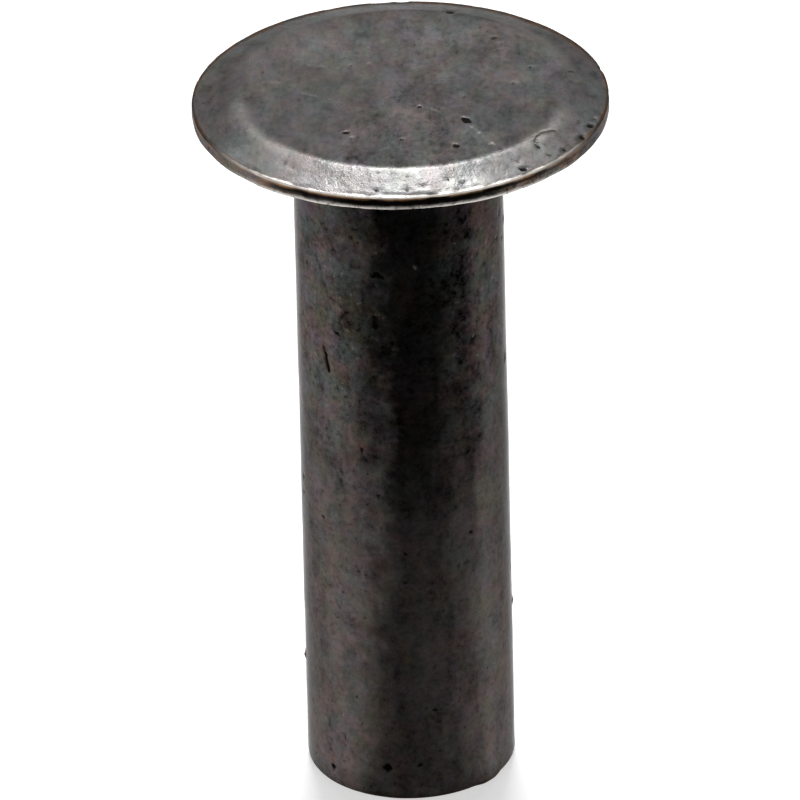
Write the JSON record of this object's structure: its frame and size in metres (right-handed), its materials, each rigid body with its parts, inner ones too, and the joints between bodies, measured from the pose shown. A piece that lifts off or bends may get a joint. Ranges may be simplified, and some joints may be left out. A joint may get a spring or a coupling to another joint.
{
  "type": "flat-head solid rivet",
  "caption": "Solid steel rivet with a thin round flat head, bevelled towards a sharp rim, on a plain cylindrical shank with a square-cut tail.",
  "frame": {"origin": "centre of the tail's flat end face, on the shank's axis; the rivet stands on that face", "axes": "+Z along the shank, from the tail to the head; +X is the side towards which the head is set off a little from the shank's axis; +Y makes the frame right-handed"},
  "size_m": [0.0159, 0.0158, 0.029],
  "materials": {
    "steel": "dark, oiled, as forged, with fine speckle and a worn bright edge at the rim"
  },
  "bodies": {
    "root": {"rivet": "steel"}
  },
  "joints": []
}
